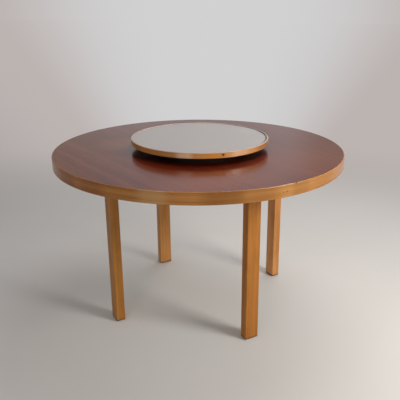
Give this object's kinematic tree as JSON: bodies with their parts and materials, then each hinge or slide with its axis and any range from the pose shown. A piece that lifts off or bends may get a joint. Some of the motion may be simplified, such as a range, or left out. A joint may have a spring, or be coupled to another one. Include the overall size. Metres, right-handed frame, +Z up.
{
  "type": "round dining table with lazy susan",
  "caption": "Round dining table with a veneered top, deep solid wood edge band and bent wood legs, and a lazy susan turning on a ball bearing at its middle.",
  "frame": {"origin": "on the floor, on the vertical axis of the round top", "axes": "+Z up, -Y the front and +X the right-hand side; the four legs stand on the diagonals between X and Y"},
  "size_m": [1.2499, 1.2498, 0.779],
  "materials": {
    "mahogany_veneer": "red-brown veneer, satin lacquer",
    "solid_birch": "honey-coloured solid wood, satin lacquer",
    "knee_veneer": "thin veneer edge, satin lacquer",
    "core_softwood": "planed, unfinished",
    "plywood": "sanded",
    "backing_veneer": "thin matt lacquer",
    "grey_laminate": "satin laminate",
    "zinc_steel": "zinc plated",
    "bearing_aluminium": "mill finish",
    "bearing_steel": "polished",
    "cage_nylon": "moulded",
    "glide_nylon": "moulded",
    "foot_rubber": "moulded"
  },
  "bodies": {
    "table": {"bearing_outer_ring": "bearing_aluminium", "bearing_outer_screws": "zinc_steel", "bottom_skin": "plywood", "bottom_veneer": "backing_veneer", "core_rail_a": "core_softwood", "core_rail_b": "core_softwood", "core_slat_inner_back": "core_softwood", "core_slat_inner_front": "core_softwood", "core_slat_inner_left": "core_softwood", "core_slat_inner_right": "core_softwood", "core_slat_middle_back": "core_softwood", "core_slat_middle_front": "core_softwood", "core_slat_middle_left": "core_softwood", "core_slat_middle_right": "core_softwood", "core_slat_outer_back": "core_softwood", "core_slat_outer_front": "core_softwood", "core_slat_outer_left": "core_softwood", "core_slat_outer_right": "core_softwood", "edge_band_back": "solid_birch", "edge_band_front": "solid_birch", "edge_band_left": "solid_birch", "edge_band_right": "solid_birch", "foot_glide_back_left": "glide_nylon", "foot_glide_back_right": "glide_nylon", "foot_glide_front_left": "glide_nylon", "foot_glide_front_right": "glide_nylon", "glide_nails": "zinc_steel", "knee_veneers_back_left": "knee_veneer", "knee_veneers_back_right": "knee_veneer", "knee_veneers_front_left": "knee_veneer", "knee_veneers_front_right": "knee_veneer", "leg_back_left": "solid_birch", "leg_back_right": "solid_birch", "leg_front_left": "solid_birch", "leg_front_right": "solid_birch", "leg_screws": "zinc_steel", "susan_base": "plywood", "susan_base_feet": "foot_rubber", "top_skin": "plywood", "top_veneer": "mahogany_veneer"},
    "ball_cage": {"bearing_cage": "cage_nylon", "bearing_balls": "bearing_steel"},
    "lazy_susan": {"susan_rim_front": "solid_birch", "susan_rim_back": "solid_birch", "susan_insert": "grey_laminate", "susan_panel": "plywood", "susan_backing": "backing_veneer", "bearing_inner_ring": "bearing_aluminium", "bearing_inner_screws": "zinc_steel"}
  },
  "joints": [
    {"name": "susan_spin", "type": "hinge", "parent": "table", "child": "lazy_susan", "pos_m": [0, 0, 0.752], "axis": [0, 0, 1], "continuous": true},
    {"name": "cage_spin", "type": "hinge", "parent": "table", "child": "ball_cage", "pos_m": [0, 0, 0.752], "axis": [0, 0, 1], "continuous": true}
  ],
  "couplings": [
    {"joint": "cage_spin", "follows": "susan_spin", "ratio": 0.49333}
  ]
}
